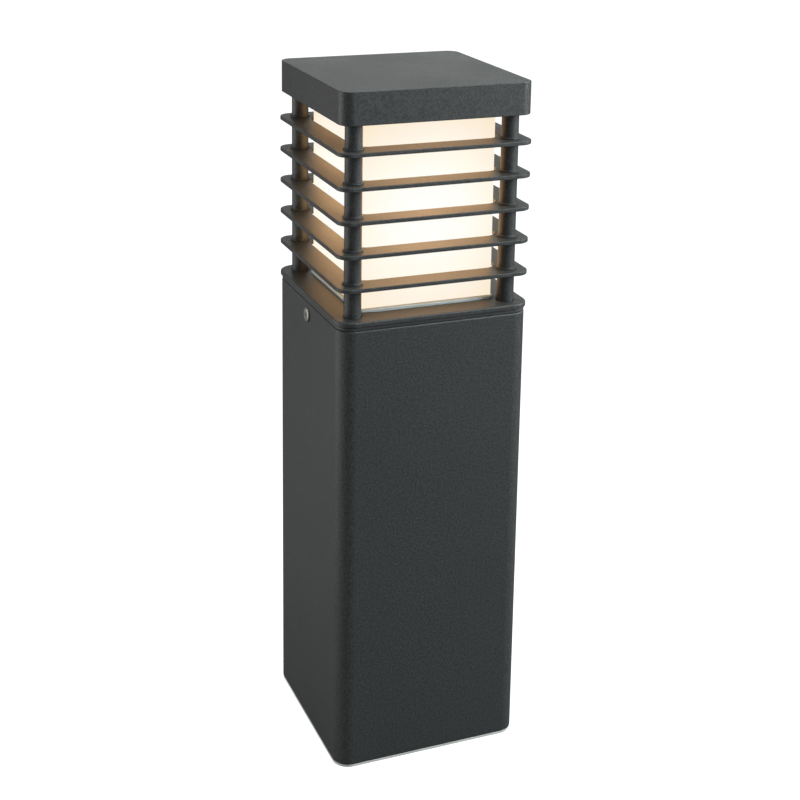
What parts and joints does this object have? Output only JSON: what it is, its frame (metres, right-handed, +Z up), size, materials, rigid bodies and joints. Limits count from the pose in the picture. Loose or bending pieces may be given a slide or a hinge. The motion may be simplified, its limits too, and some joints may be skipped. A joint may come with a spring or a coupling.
{
  "type": "bollard light",
  "caption": "Square anthracite bollard light: hollow column with a louvred lantern head whose opal diffuser glows between the louvres; the head lifts off over a screw-in lamp.",
  "frame": {"origin": "centre of the foot, on the ground plane", "axes": "+Z up along the column, -Y towards the front, the clamp screws on the -X and +X sides"},
  "size_m": [0.1316, 0.1284, 0.45],
  "materials": {
    "anthracite_powder_coat": "fine-textured matt powder coat",
    "opal_acrylic": "opal, satin, lit from inside",
    "opal_glass": "opal lamp envelope, lit",
    "stainless_steel": "bright",
    "galvanised_steel": "dull zinc",
    "bare_aluminium": "satin",
    "brass": "bright",
    "black_rubber": "matt",
    "pale_silicone": "translucent satin",
    "grey_foam": "closed-cell, matt",
    "porcelain": "glazed",
    "white_plastic": "satin",
    "black_plastic": "satin",
    "black_cable_sheath": "matt",
    "brown_insulation": "satin",
    "blue_insulation": "satin"
  },
  "bodies": {
    "column": {"cable_gland": "black_plastic", "clamp_nut_left": "stainless_steel", "clamp_nut_right": "stainless_steel", "column": "anthracite_powder_coat", "foot_gasket": "grey_foam", "foot_plate": "galvanised_steel", "gear_tray": "galvanised_steel", "holder_contact": "brass", "lamp_holder": "porcelain", "lamp_lead_live": "brown_insulation", "lamp_lead_neutral": "blue_insulation", "supply_cable": "black_cable_sheath", "terminal_block": "white_plastic", "tray_screw_left": "stainless_steel", "tray_screw_right": "stainless_steel"},
    "head": {"cage_bolt_back_left": "stainless_steel", "cage_bolt_back_right": "stainless_steel", "cage_bolt_front_left": "stainless_steel", "cage_bolt_front_right": "stainless_steel", "cap": "anthracite_powder_coat", "diffuser": "opal_acrylic", "diffuser_seal": "pale_silicone", "diffuser_top_gasket": "grey_foam", "head_base": "anthracite_powder_coat", "head_gasket": "black_rubber", "louvre_1": "anthracite_powder_coat", "louvre_2": "anthracite_powder_coat", "louvre_3": "anthracite_powder_coat", "louvre_4": "anthracite_powder_coat", "louvre_5": "anthracite_powder_coat", "spacer_1_back_left": "anthracite_powder_coat", "spacer_1_back_right": "anthracite_powder_coat", "spacer_1_front_left": "anthracite_powder_coat", "spacer_1_front_right": "anthracite_powder_coat", "spacer_2_back_left": "anthracite_powder_coat", "spacer_2_back_right": "anthracite_powder_coat", "spacer_2_front_left": "anthracite_powder_coat", "spacer_2_front_right": "anthracite_powder_coat", "spacer_3_back_left": "anthracite_powder_coat", "spacer_3_back_right": "anthracite_powder_coat", "spacer_3_front_left": "anthracite_powder_coat", "spacer_3_front_right": "anthracite_powder_coat", "spacer_4_back_left": "anthracite_powder_coat", "spacer_4_back_right": "anthracite_powder_coat", "spacer_4_front_left": "anthracite_powder_coat", "spacer_4_front_right": "anthracite_powder_coat", "spacer_5_back_left": "anthracite_powder_coat", "spacer_5_back_right": "anthracite_powder_coat", "spacer_5_front_left": "anthracite_powder_coat", "spacer_5_front_right": "anthracite_powder_coat", "spacer_6_back_left": "anthracite_powder_coat", "spacer_6_back_right": "anthracite_powder_coat", "spacer_6_front_left": "anthracite_powder_coat", "spacer_6_front_right": "anthracite_powder_coat"},
    "lamp": {"lamp_contact": "black_plastic", "lamp_shell": "bare_aluminium", "lamp_glass": "opal_glass"},
    "clamp_screw_left": {"clamp_screw_left": "stainless_steel"},
    "clamp_screw_right": {"clamp_screw_right": "stainless_steel"}
  },
  "joints": [
    {"name": "head_lift", "type": "slide", "parent": "column", "child": "head", "axis": [0, 0, 1], "range_m": [0, 0.16]},
    {"name": "lamp_unscrew", "type": "slide", "parent": "column", "child": "lamp", "axis": [0, 0, 1], "range_m": [0, 0.026]},
    {"name": "clamp_screw_left_out", "type": "slide", "parent": "column", "child": "clamp_screw_left", "axis": [-1, 0, 0], "range_m": [0, 0.007]},
    {"name": "clamp_screw_right_out", "type": "slide", "parent": "column", "child": "clamp_screw_right", "axis": [1, 0, 0], "range_m": [0, 0.007]}
  ]
}
